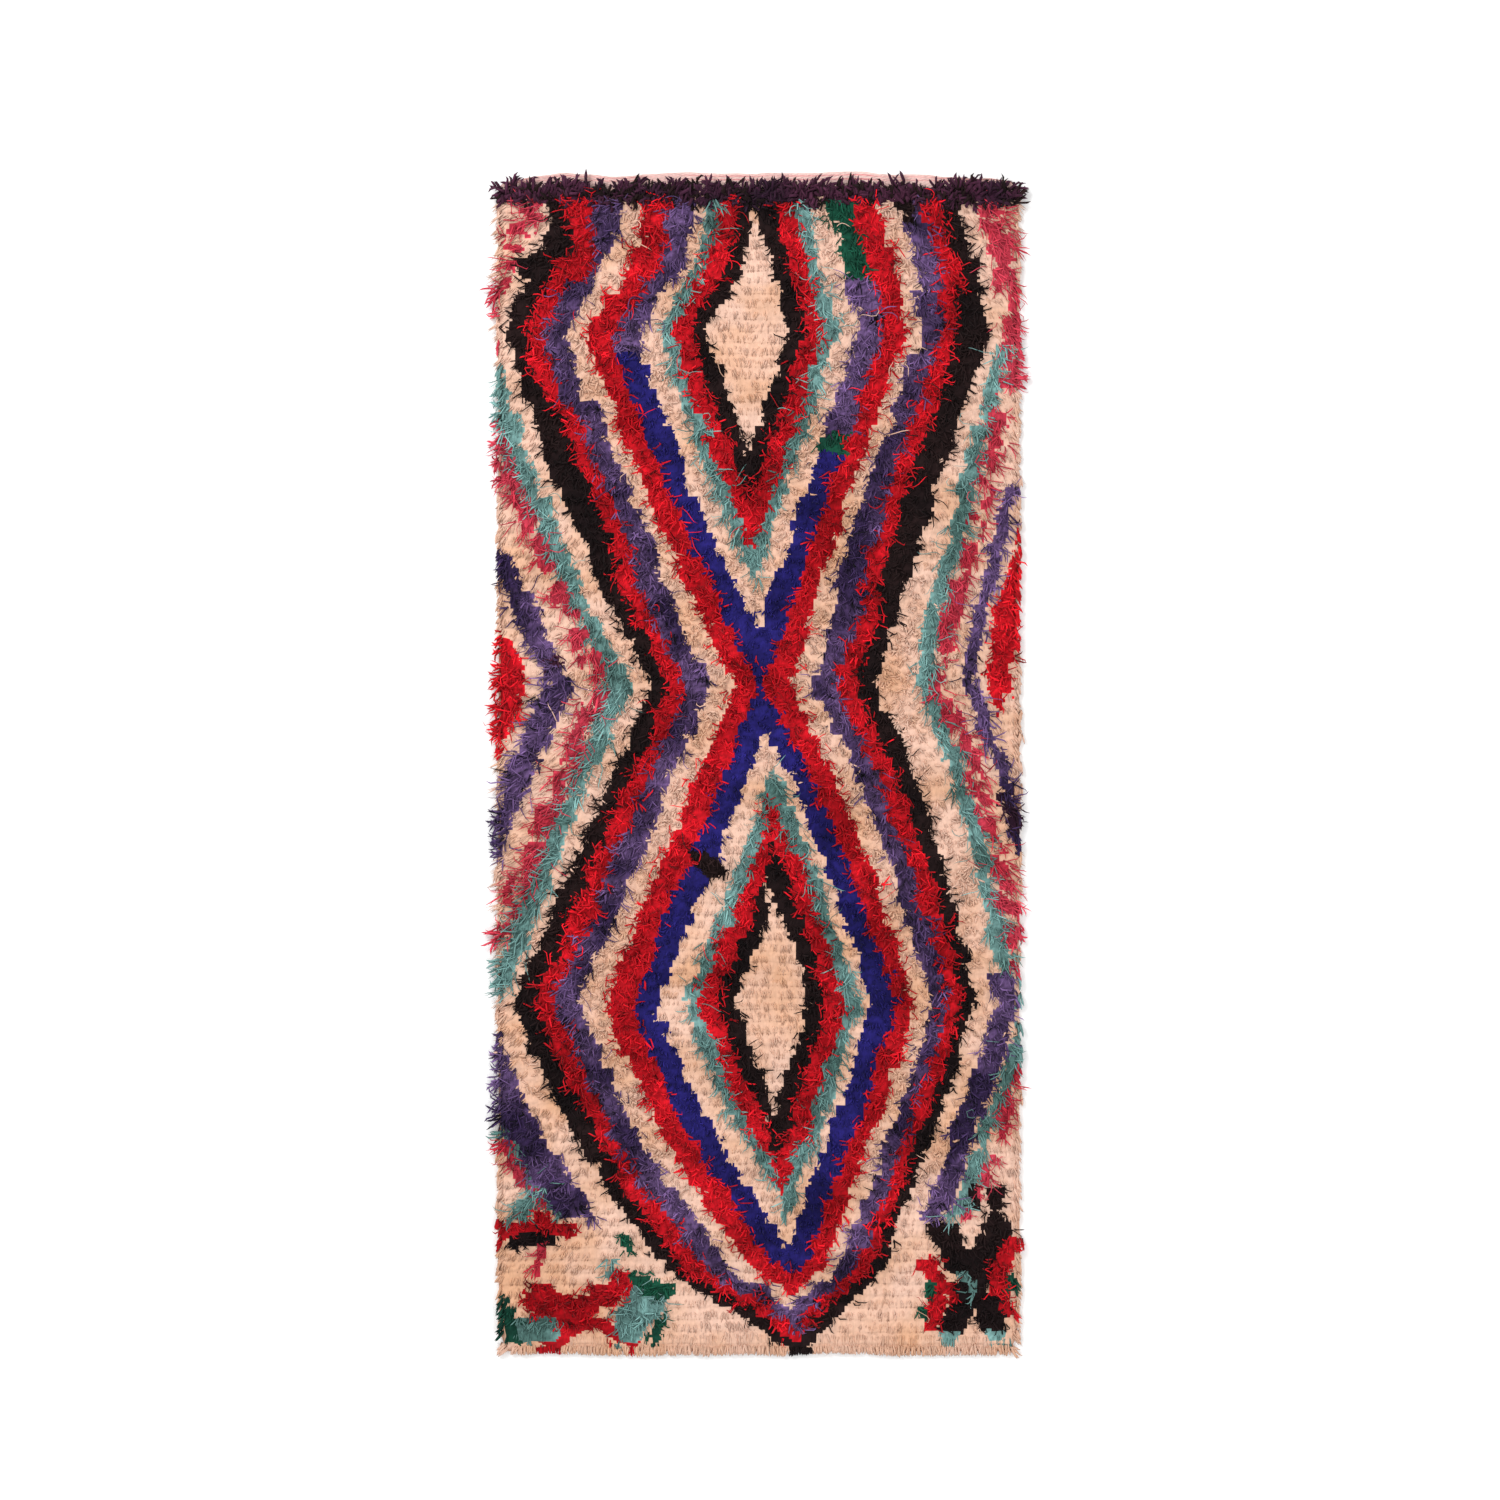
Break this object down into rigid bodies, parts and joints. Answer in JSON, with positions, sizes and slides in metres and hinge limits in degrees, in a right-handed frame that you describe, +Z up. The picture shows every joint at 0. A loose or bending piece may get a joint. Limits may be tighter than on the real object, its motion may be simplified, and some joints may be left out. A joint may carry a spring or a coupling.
{
  "type": "berber rug",
  "caption": "Long hand-knotted wool runner with a lumpy deep pile, lying flat, with rows of loose locks along its sides and ends and a thin bare woven end.",
  "frame": {"origin": "on the floor under the middle of the rug, at the bottom centre of its box", "axes": "+Z up, +Y along the rug to its head end with the bare woven strip, +X to the right-hand edge"},
  "size_m": [1.044, 2.255, 0.0283],
  "materials": {
    "pile": "matt wool pile",
    "side_locks": "matt wool yarn",
    "head_locks": "matt wool yarn",
    "foot_locks": "matt wool yarn"
  },
  "bodies": {
    "root": {"rug_body": "pile", "locks_left": "side_locks", "locks_right": "side_locks", "locks_head": "head_locks", "locks_foot": "foot_locks"}
  },
  "joints": []
}
